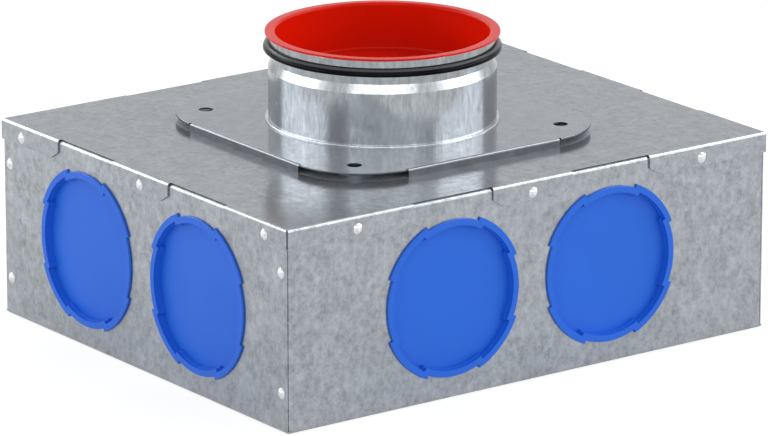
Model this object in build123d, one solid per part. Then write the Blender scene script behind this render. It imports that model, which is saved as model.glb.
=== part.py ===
from build123d import *
import math
import os

os.makedirs("parts", exist_ok=True)

# All sizes are millimetres. +Z is up, X runs along the long faces, and the origin is
# the middle of the casing's underside.

# Box
box_length = 320.0          # over the lid's tabs, along X
box_width = 270.0           # over the lid's tabs, along Y
casing_height = 110.0       # to the top of the casing's inward flanges
sheet = 0.8                 # galvanised sheet of casing, lid and spigot
bend_radius = 0.8           # inside radius of every fold
top_flange_width = 12.0     # inward flange that carries the lid
flange_corner_gap = 2.0     # notch between two top flanges, beyond their width
return_width = 14.0         # flange of a long wall, lapped behind a short wall
lap_gap = 0.2               # play between lapped sheets
seam_setback = 1.0          # short wall stops this far before the long wall's face

# Lid
tab_gap = 0.2               # play between a tab and the wall behind it
tab_height = 11.2           # from the lid's top face
middle_tab_width = 53.0
relief_width = 52.0         # cut-back of the lid's edge above each port
tab_chamfer_run = 6.9       # along the tab's lower edge
tab_chamfer_rise = 4.2
corner_relief = 1.0         # open corner between two tabs

# Rivets
rivet_head_radius = 3.0
rivet_head_height = 1.3
rivet_shank_radius = 1.6
rivet_bulb_radius = 2.3
rivet_bulb_length = 2.6
rivet_play = 0.05           # radial play of a shank in its hole
long_side_rivet_inset = 45.5    # outer rivets, from the lid's end
short_side_rivet_inset = 20.5
lid_rivet_drop = 7.0        # below the lid's top face
corner_rivet_inset = 6.0    # from the long wall's outer face
corner_rivet_low = 21.0
corner_rivet_pitch = 65.0

# Ports, round with four lobes on the diagonals
port_pitch = 105.0          # between the two ports of a face
port_height = 55.0          # port centre above the base
port_radius = 41.1
port_lobe_rise = 2.0        # beyond the port's radius
port_lobe_half_angle = 20.0

# Port caps
cap_play = 0.3              # all round, between a cap and its port
cap_flange_overlap = 1.9    # flange outline beyond the port outline
cap_flange_thickness = 1.2
cap_seat_play = 0.1         # between flange and wall
cap_wall = 1.4
cap_ledge_depth = 2.0       # step in the wall of the dish
cap_ledge_width = 0.6
cap_dish_depth = 4.5
cap_floor = 1.5
cap_skirt_depth = 11.0      # from the flange's face to the skirt's inner end
cap_edge_chamfer = 0.3
cap_seal_depth = 0.9        # of the groove in the skirt
cap_seal_width = 2.4
cap_seal_setback = 1.8      # from the skirt's inner end

# Spigot
spigot_radius = 62.25       # outside of the tube, for a 125 mm duct
neck_length = 13.8          # straight stretch above the bevel
bevel_height = 4.8
bevel_step = 1.75           # the neck is narrower than the tube by this, all round
barrel_length = 29.4        # straight stretch from the plate's top to the bevel
foot_proud = 1.8            # ring at the tube's foot, beyond the tube
foot_thickness = 0.9
foot_edge_round = 0.5       # the ring's outer top edge
under_flange_width = 3.8    # tube's end, turned out under the lid
spigot_play = 0.15          # radial, in the lid's and the plate's hole
hem_length = 4.4            # tube's mouth, folded outwards
hem_gap = 0.3

# Spigot plate, a sheet that stands on its folded edges
plate_size = 185.0
plate_corner_radius = 41.0
plate_rise = 4.6            # its top above the lid
plate_notch = 1.0           # between a folded edge and a flat corner
plate_edge_radius = 0.3
plate_hole_radius = 4.0
plate_hole_pitch = 138.0

# Spigot seal
seal_base_height = 4.6
seal_base_thickness = 0.9
seal_lip_proud = 2.75       # beyond the tube
seal_lip_thickness = 1.5
seal_lip_drop = 3.8         # from the seal's top to the lip's end
seal_tip_round = 0.5

# Spigot plug
plug_rim_proud = 1.75       # beyond the tube
plug_rim_thickness = 1.0
plug_play = 0.4             # radial, at the neck
plug_wall = 1.0
plug_depth = 25.8           # from the rim's top to the floor inside
plug_taper = 1.2            # the wall leans in by this much over the depth
plug_corner_radius = 1.2    # inside, round the floor
plug_mouth_round = 1.5      # inner edge of the rim
plug_edge_radius = 0.3
plug_seat_play = 0.1

# Sizes that follow
casing_length = box_length - 2 * (sheet + tab_gap)
casing_width = box_width - 2 * (sheet + tab_gap)
bend_outer = bend_radius + sheet
port_lobe_radius = port_radius + port_lobe_rise
spigot_neck_radius = spigot_radius - bevel_step
seal_lip_radius = spigot_radius + seal_lip_proud
plug_rim_radius = spigot_radius + plug_rim_proud
plug_mouth_radius = spigot_neck_radius - sheet - plug_play - plug_wall
return_face = casing_length / 2 - sheet - lap_gap
lid_top = casing_height + sheet
plate_top = lid_top + plate_rise
bevel_bottom = plate_top + barrel_length
bevel_top = bevel_bottom + bevel_height
spigot_top = bevel_top + neck_length
lid_cutback = sheet + tab_gap + bend_outer
cap_face = cap_flange_thickness + cap_seat_play
quarter_turn = 90
lobe_angle = 45

SIDES = {
    "front": Plane(origin=(0, -casing_width / 2, 0), x_dir=(1, 0, 0), z_dir=(0, -1, 0)),
    "right": Plane(origin=(casing_length / 2, 0, 0), x_dir=(0, 1, 0), z_dir=(1, 0, 0)),
    "back": Plane(origin=(0, casing_width / 2, 0), x_dir=(-1, 0, 0), z_dir=(0, 1, 0)),
    "left": Plane(origin=(-casing_length / 2, 0, 0), x_dir=(0, -1, 0), z_dir=(-1, 0, 0)),
}
# Port names read as side, then the end of that side: the first lies at local -X.
PORT_ENDS = {
    "front": ("left", "right"),
    "right": ("front", "back"),
    "back": ("right", "left"),
    "left": ("back", "front"),
}


def polar(radius, degrees):
    angle = math.radians(degrees)
    return (radius * math.cos(angle), radius * math.sin(angle))


def port_outline(grow):
    """The port's lobed outline, grown by a margin, as a face in the local XY plane."""
    round_radius = port_radius + grow
    lobe_radius = port_lobe_radius + grow
    half = port_lobe_half_angle + math.degrees(grow / port_lobe_radius)
    edges = []
    for quarter in range(4):
        lobe = lobe_angle + quarter * quarter_turn
        start, end = lobe - half, lobe + half
        following = start + quarter_turn
        edges.append(Line(polar(round_radius, start), polar(lobe_radius, start)))
        edges.append(CenterArc((0, 0), lobe_radius, start, 2 * half))
        edges.append(Line(polar(lobe_radius, end), polar(round_radius, end)))
        edges.append(CenterArc((0, 0), round_radius, end, following - end))
    return make_face(edges)


def slab(face, near, far):
    """The face extruded between two heights along its normal."""
    return Pos(0, 0, near) * extrude(face, amount=far - near)


def port_places():
    """Each port's name and its local plane on the wall's outer face."""
    for side, plane in SIDES.items():
        for end, sign in zip(PORT_ENDS[side], (-1, 1)):
            yield f"{side}_{end}", plane * Pos(sign * port_pitch / 2, port_height, 0)


def lid_rivet_places(side):
    """One rivet in the middle of a side and one near each end, on the tabs' outer face."""
    if side in ("front", "back"):
        outermost = box_length / 2 - long_side_rivet_inset
    else:
        outermost = box_width / 2 - short_side_rivet_inset
    for step in (-1, 0, 1):
        yield SIDES[side] * Pos(step * outermost, lid_top - lid_rivet_drop, tab_gap + sheet)


def corner_rivet_places(side):
    across = casing_width / 2 - corner_rivet_inset
    for sign in (-1, 1):
        for level in range(2):
            yield SIDES[side] * Pos(sign * across, corner_rivet_low + level * corner_rivet_pitch, 0)


def fixing_places(height):
    for x, y in ((-1, -1), (1, -1), (1, 1), (-1, 1)):
        yield Pos(x * plate_hole_pitch / 2, y * plate_hole_pitch / 2, height)


def folded_box(length, width, height):
    """A closed sheet box with rounded folds along its top and bottom edges."""
    def rounded(inset, radius):
        block = Box(length - 2 * inset, width - 2 * inset, height - 2 * inset)
        folds = block.edges().filter_by(Axis.X) + block.edges().filter_by(Axis.Y)
        return fillet(folds, radius)

    return Pos(0, 0, height / 2) * (rounded(0, bend_outer) - rounded(sheet, bend_radius))


def rivet_hole(place, depth):
    return place * Pos(0, 0, -depth / 2) * Cylinder(rivet_shank_radius + rivet_play, depth)


def mirrored_corners(block):
    """The block and its three mirror images about the XZ and YZ planes."""
    pair = [block, mirror(block, about=Plane.YZ)]
    return pair + [mirror(item, about=Plane.XZ) for item in pair]


def box_between(low, high):
    size = [b - a for a, b in zip(low, high)]
    centre = [(a + b) / 2 for a, b in zip(low, high)]
    return Pos(*centre) * Box(*size)


def corner_fold_profile():
    """Plan of a long wall's end, folded round behind the short wall next to it."""
    face_x, face_y = -return_face, -casing_width / 2
    centre = (face_x + bend_outer, face_y + bend_outer)
    flange_end = face_y + return_width
    overlap = centre[0] + sheet
    edges = [
        Line((overlap, face_y), (centre[0], face_y)),
        CenterArc(centre, bend_outer, 2 * quarter_turn, quarter_turn),
        Line((face_x, centre[1]), (face_x, flange_end)),
        Line((face_x, flange_end), (face_x + sheet, flange_end)),
        Line((face_x + sheet, flange_end), (face_x + sheet, centre[1])),
        CenterArc(centre, bend_radius, 2 * quarter_turn, quarter_turn),
        Line((centre[0], face_y + sheet), (overlap, face_y + sheet)),
        Line((overlap, face_y + sheet), (overlap, face_y)),
    ]
    return make_face(edges)


def make_casing():
    """One folded blank: base, four walls, inward top flanges and lapped return flanges."""
    body = folded_box(casing_length, casing_width, casing_height)

    opening_length = casing_length - 2 * top_flange_width
    opening_width = casing_width - 2 * top_flange_width
    body -= Pos(0, 0, casing_height) * Box(opening_length, opening_width, 2 * bend_outer)

    half_x, half_y = casing_length / 2, casing_width / 2
    wall_top = casing_height - bend_outer - lap_gap
    notch_low = (-half_x, -half_y, wall_top)
    notch_size = top_flange_width + flange_corner_gap
    notch_high = (-half_x + notch_size, -half_y + notch_size, casing_height)
    seam_high = (-return_face + bend_outer, -half_y + seam_setback, casing_height)
    seam = box_between((-half_x, -half_y, bend_outer), seam_high)
    for cut in mirrored_corners(box_between(notch_low, notch_high)) + mirrored_corners(seam):
        body -= cut
    fold = Pos(0, 0, bend_outer) * extrude(corner_fold_profile(), amount=wall_top - lap_gap - bend_outer)
    for piece in mirrored_corners(fold):
        body += piece

    for _, place in port_places():
        body -= place * slab(port_outline(0), -2 * sheet, sheet)
    for side in SIDES:
        for place in lid_rivet_places(side):
            body -= rivet_hole(place, 3 * sheet + tab_gap)
    for side in ("left", "right"):
        for place in corner_rivet_places(side):
            body -= rivet_hole(place, 3 * sheet + lap_gap)
    return body


def tab_end_chamfer(side, end, direction):
    """The wedge that a tab's lower corner loses, beside a cut-back."""
    lower = lid_top - tab_height
    points = [
        (end, lower),
        (end + direction * tab_chamfer_run, lower),
        (end, lower + tab_chamfer_rise),
    ]
    return SIDES[side] * slab(make_face(Polyline(points, close=True)), 0, 2 * sheet)


def make_lid():
    """A sheet with three riveted tabs a side, its edge cut back above each port."""
    skirt = folded_box(box_length, box_width, 2 * tab_height)
    skirt &= Pos(0, 0, 1.5 * tab_height) * Box(box_length, box_width, tab_height)
    body = Pos(0, 0, lid_top - 2 * tab_height) * skirt

    half_x, half_y = box_length / 2, box_width / 2
    corner_high = (-half_x + corner_relief, -half_y + corner_relief, lid_top)
    corner = box_between((-half_x, -half_y, lid_top - tab_height), corner_high)
    for cut in mirrored_corners(corner):
        body -= cut

    inner_end = middle_tab_width / 2
    outer_end = inner_end + relief_width
    for side in SIDES:
        for sign in (-1, 1):
            middle = sign * (inner_end + outer_end) / 2
            out = sheet + tab_gap
            relief = Pos(middle, lid_top, out - lid_cutback / 2)
            body -= SIDES[side] * relief * Box(relief_width, 2 * tab_height, lid_cutback)
            body -= tab_end_chamfer(side, sign * inner_end, -sign)
            body -= tab_end_chamfer(side, sign * outer_end, sign)
        for place in lid_rivet_places(side):
            body -= rivet_hole(place, 3 * sheet + tab_gap)

    body -= Pos(0, 0, lid_top) * Cylinder(spigot_radius + spigot_play, 4 * sheet)
    for place in fixing_places(lid_top):
        body -= place * Cylinder(plate_hole_radius, 4 * sheet)
    return body


def make_rivet(grip):
    """A blind rivet seen from its domed head, seated at z = 0, gripping downwards."""
    dome_centre = (rivet_head_height**2 - rivet_head_radius**2) / (2 * rivet_head_height)
    dome_radius = rivet_head_height - dome_centre
    dome_point = (rivet_head_radius / 2, dome_centre + math.sqrt(dome_radius**2 - (rivet_head_radius / 2) ** 2))
    bulb_end = -grip - rivet_bulb_length
    bulb_middle = -grip - rivet_bulb_length / 2
    outline = [
        ThreePointArc((0, rivet_head_height), dome_point, (rivet_head_radius, 0)),
        Line((rivet_head_radius, 0), (rivet_shank_radius, 0)),
        Line((rivet_shank_radius, 0), (rivet_shank_radius, -grip)),
        Line((rivet_shank_radius, -grip), (rivet_bulb_radius, -grip)),
        Line((rivet_bulb_radius, -grip), (rivet_bulb_radius, bulb_middle)),
        Line((rivet_bulb_radius, bulb_middle), (rivet_shank_radius, bulb_end)),
        Line((rivet_shank_radius, bulb_end), (0, bulb_end)),
        Line((0, bulb_end), (0, rivet_head_height)),
    ]
    return turned(make_face(outline))


def turned(profile):
    """A solid of revolution about Z from a face drawn as radius and height."""
    return revolve(Plane.XZ * profile, axis=Axis.Z)


def rounded_corner(profile, corner, radius):
    """Rounds the profile's corner nearest to the given point."""
    nearest = min(profile.vertices(), key=lambda vertex: (vertex.center() - Vector(*corner)).length)
    return fillet([nearest], radius)


def make_rivets(places, grip):
    rivet = make_rivet(grip)
    return Compound(children=[place * rivet for place in places])


def make_cap():
    """A port cap in its port's plane: flange, stepped dish, floor and skirt."""
    flange = slab(port_outline(cap_flange_overlap), cap_seat_play, cap_face)
    flange = chamfer(flange.faces().sort_by(Axis.Z)[-1].outer_wire().edges(), cap_edge_chamfer)
    skirt_end = cap_face - cap_skirt_depth
    body = flange + slab(port_outline(-cap_play), skirt_end, cap_seat_play)

    dish = -cap_play - cap_wall
    ledge = cap_face - cap_ledge_depth
    floor = cap_face - cap_dish_depth
    body -= slab(port_outline(dish), ledge, cap_face)
    body -= slab(port_outline(dish - cap_ledge_width), floor, ledge)
    body -= slab(port_outline(dish), skirt_end, floor - cap_floor)
    body -= seal_ring(cap_seal_depth)
    return body


def seal_ring(depth):
    """The ring that lies in the groove of the skirt."""
    skirt_end = cap_face - cap_skirt_depth
    low = skirt_end + cap_seal_setback
    outer = slab(port_outline(-cap_play), low, low + cap_seal_width)
    return outer - slab(port_outline(-cap_play - depth), low, low + cap_seal_width)


def plate_fold_profile():
    """Section of a folded edge, from the plate's flat out and down to the lid."""
    face = plate_size / 2
    centre = (face - bend_outer, plate_top - bend_outer)
    edges = [
        CenterArc(centre, bend_outer, 0, quarter_turn),
        Line((centre[0], plate_top), (centre[0], plate_top - sheet)),
        CenterArc(centre, bend_radius, 0, quarter_turn),
        Line((face - sheet, centre[1]), (face - sheet, lid_top)),
        Line((face - sheet, lid_top), (face, lid_top)),
        Line((face, lid_top), (face, centre[1])),
    ]
    return make_face(edges)


def make_spigot_plate():
    """Sheet with flat rounded corners, its four straight edges folded down onto the lid."""
    outline = RectangleRounded(plate_size, plate_size, plate_corner_radius)
    body = slab(outline, plate_top - sheet, plate_top)
    body = fillet(body.faces().sort_by(Axis.Z)[-1].outer_wire().edges(), plate_edge_radius)

    straight = plate_size - 2 * plate_corner_radius
    half_fold = straight / 2 - plate_notch
    fold = extrude(Plane.XZ * plate_fold_profile(), amount=half_fold, both=True)
    strip = Pos(plate_size / 2, 0, plate_top) * Box(2 * bend_outer, straight, 4 * sheet)
    for quarter in range(4):
        turn = Rot(0, 0, quarter * quarter_turn)
        body -= turn * strip
        body += turn * fold

    body -= Pos(0, 0, plate_top) * Cylinder(spigot_radius + spigot_play, 4 * sheet)
    for place in fixing_places(plate_top):
        body -= place * Cylinder(plate_hole_radius, 4 * sheet)
    return body


def make_spigot_tube():
    """Folded tube: turned out under the lid, foot ring, barrel, bevel, neck and hem."""
    inner = spigot_radius - sheet
    neck_inner = spigot_neck_radius - sheet
    hem_inner = spigot_neck_radius + hem_gap
    hem_outer = hem_inner + sheet
    under = casing_height
    turned_out = spigot_radius + under_flange_width
    foot_end = spigot_radius + foot_proud
    foot_top = plate_top + foot_thickness
    hem_bottom = spigot_top - hem_length
    fold_radius = (hem_outer - neck_inner) / 2
    fold_start = spigot_top - fold_radius
    outline = [
        Line((inner, under - sheet), (turned_out, under - sheet)),
        Line((turned_out, under - sheet), (turned_out, under)),
        Line((turned_out, under), (spigot_radius, under)),
        Line((spigot_radius, under), (spigot_radius, plate_top)),
        Line((spigot_radius, plate_top), (foot_end, plate_top)),
        Line((foot_end, plate_top), (foot_end, foot_top)),
        Line((foot_end, foot_top), (spigot_radius, foot_top)),
        Line((spigot_radius, foot_top), (spigot_radius, bevel_bottom)),
        Line((spigot_radius, bevel_bottom), (spigot_neck_radius, bevel_top)),
        Line((spigot_neck_radius, bevel_top), (spigot_neck_radius, fold_start)),
        Line((spigot_neck_radius, fold_start), (hem_inner, fold_start)),
        Line((hem_inner, fold_start), (hem_inner, hem_bottom)),
        Line((hem_inner, hem_bottom), (hem_outer, hem_bottom)),
        Line((hem_outer, hem_bottom), (hem_outer, fold_start)),
        ThreePointArc((hem_outer, fold_start), (neck_inner + fold_radius, spigot_top), (neck_inner, fold_start)),
        Line((neck_inner, fold_start), (neck_inner, bevel_top)),
        Line((neck_inner, bevel_top), (inner, bevel_bottom)),
        Line((inner, bevel_bottom), (inner, under - sheet)),
    ]
    profile = rounded_corner(make_face(outline), (foot_end, foot_top), foot_edge_round)
    return turned(profile)


def bowed(start, end):
    """An arc that leaves its start level and reaches its end, further out, almost upright."""
    bow = math.sin(math.radians(lobe_angle))
    middle = (start[0] + (end[0] - start[0]) * bow, end[1] + (start[1] - end[1]) * bow)
    return ThreePointArc(start, middle, end)


def make_spigot_seal():
    """Rubber seal on the neck, held by the hem: a thick lip that bows out and droops."""
    top = spigot_top - hem_length
    bottom = top - seal_base_height
    base = spigot_neck_radius + seal_base_thickness
    tip = top - seal_lip_drop
    tip_inner = seal_lip_radius - seal_lip_thickness
    tip_middle = ((seal_lip_radius + tip_inner) / 2, tip - seal_tip_round)
    outline = [
        Line((spigot_neck_radius, bottom), (base, bottom)),
        Line((base, bottom), (base, top - seal_lip_thickness)),
        bowed((base, top - seal_lip_thickness), (tip_inner, tip)),
        ThreePointArc((tip_inner, tip), tip_middle, (seal_lip_radius, tip)),
        bowed((base, top), (seal_lip_radius, tip)),
        Line((base, top), (spigot_neck_radius, top)),
        Line((spigot_neck_radius, top), (spigot_neck_radius, bottom)),
    ]
    return turned(make_face(outline))


def make_spigot_plug():
    """Cup that closes the spigot, its rim resting on the tube's folded mouth."""
    rim_bottom = spigot_top + plug_seat_play
    rim_top = rim_bottom + plug_rim_thickness
    floor_top = rim_top - plug_depth
    floor_bottom = floor_top - plug_wall
    foot_inner = plug_mouth_radius - plug_taper
    foot_outer = foot_inner + plug_wall
    profile = make_face(Polyline([
        (0, floor_bottom),
        (foot_outer, floor_bottom),
        (plug_mouth_radius + plug_wall, rim_bottom),
        (plug_rim_radius, rim_bottom),
        (plug_rim_radius, rim_top),
        (plug_mouth_radius, rim_top),
        (foot_inner, floor_top),
        (0, floor_top),
    ], close=True))
    profile = rounded_corner(profile, (foot_outer, floor_bottom), plug_corner_radius + plug_wall)
    profile = rounded_corner(profile, (foot_inner, floor_top), plug_corner_radius)
    profile = rounded_corner(profile, (plug_mouth_radius, rim_top), plug_mouth_round)
    profile = rounded_corner(profile, (plug_rim_radius, rim_top), plug_edge_radius)
    return turned(profile)


def save(node, shape):
    export_step(shape, f"parts/{node}.step")


save("casing", make_casing())
save("lid", make_lid())
save("spigot_plate", make_spigot_plate())
save("spigot_tube", make_spigot_tube())
save("spigot_seal", make_spigot_seal())
save("spigot_plug", make_spigot_plug())

cap = make_cap()
cap_seal = seal_ring(cap_seal_depth)
for port, place in port_places():
    save(f"{port}_cap", place * cap)
    save(f"{port}_cap_seal", place * cap_seal)

for side in SIDES:
    save(f"{side}_lid_rivets", make_rivets(lid_rivet_places(side), 2 * sheet + tab_gap))
for side in ("left", "right"):
    save(f"{side}_corner_rivets", make_rivets(corner_rivet_places(side), 2 * sheet + lap_gap))
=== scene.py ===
import math

import bmesh
import bpy
from mathutils import Matrix, Vector


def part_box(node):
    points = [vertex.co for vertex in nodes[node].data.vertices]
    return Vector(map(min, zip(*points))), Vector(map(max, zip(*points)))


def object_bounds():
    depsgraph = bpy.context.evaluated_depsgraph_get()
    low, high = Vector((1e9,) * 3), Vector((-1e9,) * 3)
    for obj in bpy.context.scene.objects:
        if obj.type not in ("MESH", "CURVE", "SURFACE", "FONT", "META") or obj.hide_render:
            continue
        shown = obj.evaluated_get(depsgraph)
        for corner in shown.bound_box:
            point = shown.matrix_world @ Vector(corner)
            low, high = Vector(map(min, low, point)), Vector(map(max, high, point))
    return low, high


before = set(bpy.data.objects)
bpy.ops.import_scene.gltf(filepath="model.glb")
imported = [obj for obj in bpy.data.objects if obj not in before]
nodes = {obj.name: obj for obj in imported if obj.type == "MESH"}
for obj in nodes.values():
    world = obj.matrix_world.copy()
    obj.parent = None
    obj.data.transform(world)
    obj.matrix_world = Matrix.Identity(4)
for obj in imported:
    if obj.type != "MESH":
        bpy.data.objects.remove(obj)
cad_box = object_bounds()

scene = bpy.context.scene


# Camera, at the photograph's viewing angle

photo_width = 768                       # pixels
focal_pixels = 6190.0
view_azimuth = math.radians(-36.264)
view_elevation = math.radians(16.36)
camera_distance = 3.4014
aim_right = 0.000818                    # the point looked at, from the origin along the picture
aim_up = 0.05557
sensor_width = 36.0                     # millimetres
far_clip = 60.0


def outward(azimuth, elevation):
    """The direction from the object to something round it; azimuth 0 lies towards -Y."""
    flat = math.cos(elevation)
    return Vector((math.sin(azimuth) * flat, -math.cos(azimuth) * flat, math.sin(elevation)))


def add_camera():
    right = Vector((math.cos(view_azimuth), math.sin(view_azimuth), 0))
    back = outward(view_azimuth, view_elevation)
    up = back.cross(right)
    data = bpy.data.cameras.new("camera")
    data.sensor_width = sensor_width
    data.lens = focal_pixels * sensor_width / photo_width
    data.clip_end = far_clip
    camera = bpy.data.objects.new("camera", data)
    place = Matrix((right, up, back)).transposed().to_4x4()
    place.translation = aim_right * right + aim_up * up + camera_distance * back
    camera.matrix_world = place
    scene.collection.objects.link(camera)
    scene.camera = camera


# Shader helpers

noise_low = 0.3                         # noise stays mostly between these two values
noise_high = 0.7


def new_material(name):
    material = bpy.data.materials.new(name)
    material.use_nodes = True
    tree = material.node_tree
    return material, tree, tree.nodes["Principled BSDF"]


def wire(tree, node, inputs):
    """Links each input to a socket, or sets it to a value."""
    for key, value in inputs.items():
        if isinstance(value, bpy.types.NodeSocket):
            tree.links.new(value, node.inputs[key])
        else:
            node.inputs[key].default_value = value


def add_node(tree, kind, inputs, **settings):
    node = tree.nodes.new(kind)
    for key, value in settings.items():
        setattr(node, key, value)
    wire(tree, node, inputs)
    return node


def object_place(tree, grain=(1, 1, 1)):
    """Coordinates on the object, drawn out along the axes whose grain is below 1."""
    place = add_node(tree, "ShaderNodeTexCoord", {}).outputs["Object"]
    return add_node(tree, "ShaderNodeMapping", {"Vector": place, "Scale": grain}).outputs["Vector"]


def noise(tree, place, size, detail, roughness):
    """Soft noise whose patches measure about the given size in metres."""
    inputs = {"Vector": place, "Scale": 1 / size, "Detail": detail, "Roughness": roughness}
    return add_node(tree, "ShaderNodeTexNoise", inputs).outputs["Fac"]


def crystals(tree, place, size):
    """Distance from the middle of the nearest crystal, which measures about the given size."""
    inputs = {"Vector": place, "Scale": 1 / size}
    return add_node(tree, "ShaderNodeTexVoronoi", inputs).outputs["Distance"]


def math_node(tree, operation, *values):
    return add_node(tree, "ShaderNodeMath", dict(enumerate(values)), operation=operation).outputs["Value"]


def blend(tree, parts):
    """Weighted sum of texture values."""
    total = None
    for value, weight in parts:
        part = math_node(tree, "MULTIPLY", value, weight)
        total = part if total is None else math_node(tree, "ADD", total, part)
    return total


def remap(tree, value, low, high, new_low, new_high):
    inputs = {"Value": value, "From Min": low, "From Max": high, "To Min": new_low, "To Max": new_high}
    return add_node(tree, "ShaderNodeMapRange", inputs).outputs["Result"]


def steps(tree, value, levels):
    """The level of the highest limit that the value passes, from pairs of limit and level."""
    total = levels[0][1]
    for (_, below), (limit, above) in zip(levels, levels[1:]):
        passed = math_node(tree, "GREATER_THAN", value, limit)
        total = math_node(tree, "MULTIPLY_ADD", passed, above - below, total)
    return total


def grey(level):
    return (level, level, level, 1)


def tinted(color, factor):
    return tuple(factor * channel for channel in color) + (1,)


def color_between(tree, value, low, dark, high, light):
    node = add_node(tree, "ShaderNodeValToRGB", {"Fac": value})
    for element, position, color in zip(node.color_ramp.elements, (low, high), (dark, light)):
        element.position = position
        element.color = color
    return node.outputs["Color"]


def mixed_color(tree, factor, first, second, blend_type="MIX"):
    """Two colours mixed; sockets 6 and 7 of the mix node take them and output 2 gives the result."""
    inputs = {0: factor, 6: first, 7: second}
    return add_node(tree, "ShaderNodeMix", inputs, data_type="RGBA", blend_type=blend_type).outputs[2]


def bump(tree, height, strength, depth):
    inputs = {"Height": height, "Strength": strength, "Distance": depth}
    return add_node(tree, "ShaderNodeBump", inputs).outputs["Normal"]


def point_in_room(tree):
    """The coordinates of the point that is shaded, in metres."""
    point = add_node(tree, "ShaderNodeNewGeometry", {}).outputs["Position"]
    return add_node(tree, "ShaderNodeSeparateXYZ", {0: point}).outputs


def tilt_of_face(tree):
    """The upward part of the face's direction: 1 on top, 0 where it is upright, -1 below."""
    facing = add_node(tree, "ShaderNodeNewGeometry", {}).outputs["True Normal"]
    return add_node(tree, "ShaderNodeSeparateXYZ", {0: facing}).outputs["Z"]


# Places on the object, from the frame

plate_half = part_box("spigot_plate")[1][0]
plate_corner = 0.041                    # radius of the spigot plate's corners
foot_ring_height = 0.0009
neck_height = 0.0138
edge_margin = 0.00005
lid_cut_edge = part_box("casing")[1][2] + edge_margin
foot_ring_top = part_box("spigot_plate")[1][2] + foot_ring_height
neck_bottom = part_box("spigot_tube")[1][2] - neck_height


# Painted shade and painted light on the sheet metal, as shares of its colour

painted_edge_shade = 0.25                        # painted shade on cut edges, and on the plate's folded edges
painted_fold_shade = 0.50                        # painted shade dimming the highlight on the rounding above a folded edge
# Painted shade on the tube's narrow neck, and painted highlight on the ring at its foot:
painted_neck_shade = 0.84
painted_ring_highlight = 1.35
painted_light_under_plate = 1.4                        # painted light on the shaded sheet under the plate, and on the plate's underside
pale_sheet_roughness = 0.45
edge_tilt = 0.31                        # the tilt of an edge's face stays below this
fold_tilt = 0.55                        # the same for an edge of the plate and part of its fold
flat_tilt = 0.97                        # the tilt of a lying sheet passes this


def under_plate(tree):
    """1 where the spigot plate lies above, else 0: a square with rounded corners."""
    point = point_in_room(tree)
    total = 0.0
    for axis in "XY":
        off_middle = math_node(tree, "ABSOLUTE", point[axis])
        beyond = math_node(tree, "SUBTRACT", off_middle, plate_half - plate_corner)
        beyond = math_node(tree, "MAXIMUM", beyond, 0.0)
        total = math_node(tree, "MULTIPLY_ADD", beyond, beyond, total)
    return math_node(tree, "LESS_THAN", total, plate_corner**2)


def painted_lid_shading(tree):
    """Painted shade on the cut edges above the ports but not on the folded tabs, and painted light on the
    sheet under the plate.
    """
    tilt = math_node(tree, "ABSOLUTE", tilt_of_face(tree))
    # Painted shade on upright faces, the lid's cut edges.
    painted_shade_by_tilt = steps(tree, tilt, ((0.0, painted_edge_shade), (edge_tilt, 1.0)))
    on_tab = math_node(tree, "LESS_THAN", point_in_room(tree)["Z"], lid_cut_edge)
    # Painted light on the sheet that lies in the plate's shade.
    painted_light_below_plate = math_node(tree, "MULTIPLY", under_plate(tree), painted_light_under_plate)
    return math_node(tree, "MAXIMUM", math_node(tree, "MAXIMUM", painted_shade_by_tilt, on_tab), painted_light_below_plate)


def lid_haze(tree):
    """The sheet under the plate has kept its matt coat."""
    return math_node(tree, "MULTIPLY", under_plate(tree), pale_sheet_roughness)


def painted_plate_shading(tree):
    """Painted shade on folded edges and cut edges, less on the folds, and painted light on the underside."""
    levels = ((-1.0, painted_light_under_plate), (-flat_tilt, painted_edge_shade), (fold_tilt, painted_fold_shade), (flat_tilt, 1.0))
    return steps(tree, tilt_of_face(tree), levels)


def painted_tube_shading(tree):
    """Painted highlight on the ring at the tube's foot, and painted shade on the narrow neck."""
    levels = ((0.0, painted_ring_highlight), (foot_ring_top, 1.0), (neck_bottom, painted_neck_shade))
    return steps(tree, point_in_room(tree)["Z"], levels)


# Materials

wall_zinc = (0.375, 0.400, 0.430)
top_zinc = (0.386, 0.411, 0.445)
tube_zinc = (0.401, 0.428, 0.449)
red = (0.64, 0.009, 0.0005)
blue = (0.018, 0.138, 0.69)
rubber_dark = (0.001, 0.001, 0.0015, 1)
rubber_bloom = (0.003, 0.003, 0.004, 1)
# Painted highlight for the bent back of a seal lip:
painted_rubber_highlight = (0.10, 0.105, 0.115, 1)
rivet_worn = (0.66, 0.67, 0.69, 1)
rivet_bright = (0.82, 0.83, 0.85, 1)

speck_size = 0.0014
spangle_size = 0.0045
crystal_size = 0.0032
cloud_size = 0.014
plastic_cloud_size = 0.05
rubber_bloom_size = 0.016
rivet_wear_size = 0.0016


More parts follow.
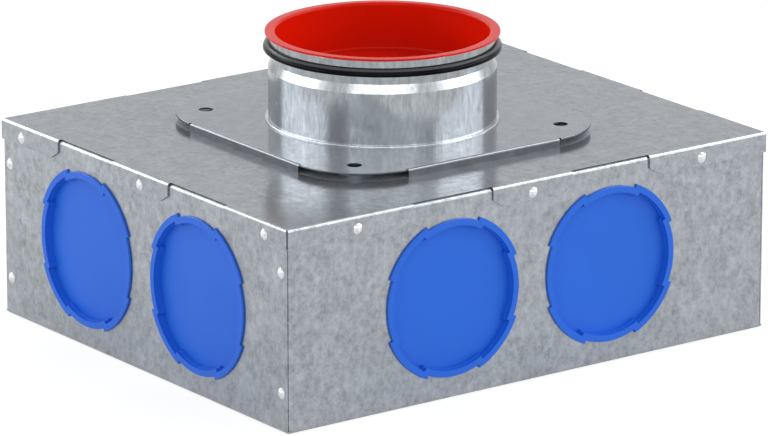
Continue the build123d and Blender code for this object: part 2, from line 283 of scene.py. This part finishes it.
def galvanised(name, tone, roughness, contrast, grain=(1, 1, 1), metallic=1.0, grazing=1.0,
               painted_shading=None, haze=None):
    """Zinc-coated sheet: fine specks, soft spangle and a few dark veins."""
    material, tree, shader = new_material(name)
    place = object_place(tree, grain)
    speck = noise(tree, place, speck_size, 3.0, 0.6)
    spangle = noise(tree, place, spangle_size, 2.0, 0.5)
    cloud = noise(tree, place, cloud_size, 3.0, 0.5)
    crystal = crystals(tree, place, crystal_size)
    mottle = blend(tree, [(speck, 0.34), (spangle, 0.34), (cloud, 0.2), (crystal, 0.12)])
    off_middle = math_node(tree, "ABSOLUTE", math_node(tree, "SUBTRACT", cloud, 0.5))
    vein = remap(tree, off_middle, 0.0, 0.03, 0.06, 0.0)
    mottle = math_node(tree, "SUBTRACT", mottle, vein)
    dark, light = tinted(tone, 1 - contrast), tinted(tone, 1 + contrast)
    color = color_between(tree, mottle, noise_low, dark, noise_high, light)
    # Painted light and shade, where given, multiply the colour.
    if painted_shading is not None:
        color = mixed_color(tree, 1.0, color, painted_shading(tree), "MULTIPLY")
    rough = remap(tree, mottle, noise_low, noise_high, roughness + 0.05, roughness - 0.05)
    if haze is not None:
        rough = math_node(tree, "MAXIMUM", rough, haze(tree))
    wire(tree, shader, {
        "Base Color": color,
        "Metallic": metallic,
        "Specular Tint": grey(grazing),
        "Roughness": rough,
        "Normal": bump(tree, blend(tree, [(speck, 0.6), (spangle, 0.4)]), strength=0.10, depth=0.0002),
    })
    return material


def moulded(name, color, roughness, gloss, grain_size):
    """Moulded plastic: slight clouding of the colour and a fine moulded grain."""
    material, tree, shader = new_material(name)
    place = object_place(tree)
    cloud = noise(tree, place, plastic_cloud_size, 3.0, 0.5)
    grain = noise(tree, place, grain_size, 2.0, 0.5)
    dark, light = tinted(color, 0.96), tinted(color, 1.03)
    wire(tree, shader, {
        "Base Color": color_between(tree, cloud, noise_low, dark, noise_high, light),
        "Roughness": remap(tree, cloud, noise_low, noise_high, roughness + 0.04, roughness - 0.04),
        "Specular IOR Level": gloss,
        "Normal": bump(tree, grain, strength=0.05, depth=0.0001),
    })
    return material


def rubber():
    """Black rubber with a faint bloom, and a painted highlight where a lip's back bends."""
    material, tree, shader = new_material("black_rubber")
    bloom = noise(tree, object_place(tree), rubber_bloom_size, 4.0, 0.6)
    body = color_between(tree, bloom, 0.35, rubber_dark, 0.75, rubber_bloom)
    tilt = tilt_of_face(tree)
    # Painted highlight on the part of a lip that bends from its side towards its top.
    above_side = remap(tree, tilt, 0.55, 0.70, 0, 1)
    below_top = remap(tree, tilt, 0.86, 0.96, 1, 0)
    lip_highlight_mask = math_node(tree, "MULTIPLY", above_side, below_top)
    wire(tree, shader, {
        "Base Color": mixed_color(tree, lip_highlight_mask, body, painted_rubber_highlight),
        "Roughness": remap(tree, bloom, noise_low, noise_high, 0.16, 0.24),
        "Specular IOR Level": 0.06,
        "Normal": bump(tree, bloom, strength=0.10, depth=0.0002),
    })
    return material


def rivet_metal():
    """Bright rivet heads, slightly dulled in patches."""
    material, tree, shader = new_material("rivet_aluminium")
    wear = noise(tree, object_place(tree), rivet_wear_size, 3.0, 0.6)
    wire(tree, shader, {
        "Base Color": color_between(tree, wear, noise_low, rivet_worn, noise_high, rivet_bright),
        "Metallic": 1.0,
        "Roughness": remap(tree, wear, noise_low, noise_high, 0.14, 0.26),
        "Normal": bump(tree, wear, strength=0.08, depth=0.0001),
    })
    return material


def dress(ending, material):
    """Gives the material to every node whose name has this ending."""
    for name, node in nodes.items():
        if name.endswith(ending):
            slots = node.data.materials
            slots.clear()
            slots.append(material)


def dress_all():
    dress("casing", galvanised(
        "galvanised_walls", wall_zinc, roughness=0.34, contrast=0.36, grain=(1, 1, 0.8)))
    dress("lid", galvanised(
        "galvanised_lid", top_zinc, roughness=0.17, contrast=0.30,
        metallic=0.75, grazing=0.62, painted_shading=painted_lid_shading, haze=lid_haze))
    dress("spigot_plate", galvanised(
        "galvanised_plate", top_zinc, roughness=0.16, contrast=0.18,
        metallic=0.75, grazing=0.64, painted_shading=painted_plate_shading))
    dress("spigot_tube", galvanised(
        "galvanised_tube", tube_zinc, roughness=0.17, contrast=0.32, grain=(1.6, 1.6, 0.4),
        grazing=0.88, painted_shading=painted_tube_shading))
    dress("spigot_plug", moulded("red_plastic", red, roughness=0.28, gloss=0.12, grain_size=0.0012))
    dress("_cap", moulded("blue_plastic", blue, roughness=0.42, gloss=0.25, grain_size=0.0006))
    dress("_seal", rubber())
    dress("_rivets", rivet_metal())


# Studio: floor, world and softboxes

floor_half = 30.0
floor_gap = 0.0002                      # between the floor and the object's underside
floor_mirrored = 0.5                    # share of its white that mirrored rays see
floor_grain_size = 0.12
lamp_target = Vector((0, 0, 0.08))


def seen_directly(tree, mirrored=1.0):
    """1 for rays from the camera and see-through ones, a share of that for mirrored ones, else 0."""
    rays = add_node(tree, "ShaderNodeLightPath", {}).outputs
    glossy = math_node(tree, "MULTIPLY", rays["Is Glossy Ray"], mirrored)
    seen = math_node(tree, "MAXIMUM", rays["Is Camera Ray"], glossy)
    return math_node(tree, "MAXIMUM", seen, rays["Is Transmission Ray"])


def matt(tree, color):
    return add_node(tree, "ShaderNodeBsdfDiffuse", {"Color": color}).outputs["BSDF"]


def background(tree, strength):
    inputs = {"Color": grey(1), "Strength": strength}
    return add_node(tree, "ShaderNodeBackground", inputs).outputs["Background"]


def mixed_shader(tree, factor, first, second):
    inputs = {"Fac": factor, 1: first, 2: second}
    return add_node(tree, "ShaderNodeMixShader", inputs).outputs["Shader"]


def floor_material():
    """Pale and matt, lifted to white where it is seen, with the object's shadow left in."""
    material = bpy.data.materials.new("pale_floor")
    material.use_nodes = True
    tree = material.node_tree
    tree.nodes.clear()
    grain = noise(tree, object_place(tree), floor_grain_size, 4.0, 0.5)
    lit = matt(tree, color_between(tree, grain, noise_low, grey(0.80), noise_high, grey(0.82)))
    glow = add_node(tree, "ShaderNodeEmission", {"Strength": 0.74}).outputs["Emission"]
    lifted = add_node(tree, "ShaderNodeAddShader", {0: matt(tree, grey(0.36)), 1: glow}).outputs["Shader"]
    surface = mixed_shader(tree, seen_directly(tree, floor_mirrored), lit, lifted)
    add_node(tree, "ShaderNodeOutputMaterial", {"Surface": surface})
    return material


def add_floor():
    mesh = bpy.data.meshes.new("floor")
    form = bmesh.new()
    bmesh.ops.create_grid(form, x_segments=1, y_segments=1, size=floor_half)
    form.to_mesh(mesh)
    form.free()
    floor = bpy.data.objects.new("floor", mesh)
    floor.location.z = cad_box[0][2] - floor_gap
    scene.collection.objects.link(floor)
    mesh.materials.append(floor_material())


def add_world():
    """White where it is seen, and half as strong as light."""
    world = bpy.data.worlds.new("studio")
    scene.world = world
    world.use_nodes = True
    tree = world.node_tree
    tree.nodes.clear()
    surface = mixed_shader(tree, seen_directly(tree), background(tree, 0.5), background(tree, 1.0))
    add_node(tree, "ShaderNodeOutputWorld", {"Surface": surface})


def add_softbox(name, azimuth, elevation, distance, width, height, radiance):
    """An area light that faces the object, its azimuth in degrees from the camera's."""
    out = outward(view_azimuth + math.radians(azimuth), math.radians(elevation))
    data = bpy.data.lights.new(name, "AREA")
    data.shape = "RECTANGLE"
    data.size = width
    data.size_y = height
    data.energy = radiance * math.pi * width * height
    light = bpy.data.objects.new(name, data)
    light.location = lamp_target + out * distance
    light.rotation_euler = out.to_track_quat("Z", "Y").to_euler()
    scene.collection.objects.link(light)


def add_lights():
    add_softbox("left_box", azimuth=-88, elevation=15, distance=1.6, width=1.9, height=0.30, radiance=4.0)
    add_softbox("right_box", azimuth=88, elevation=15, distance=3.2, width=3.8, height=0.60, radiance=4.0)
    add_softbox("right_fill", azimuth=46, elevation=16, distance=1.6, width=0.75, height=0.30, radiance=0.80)
    add_softbox("front_box", azimuth=0, elevation=23, distance=1.8, width=2.2, height=0.34, radiance=2.6)
    add_softbox("left_strip", azimuth=-130, elevation=30, distance=1.6, width=1.3, height=0.45, radiance=4.0)
    add_softbox("right_strip", azimuth=112, elevation=46, distance=3.2, width=3.0, height=1.00, radiance=4.0)


add_camera()
dress_all()
add_floor()
add_world()
add_lights()

scene.view_settings.view_transform = "Standard"
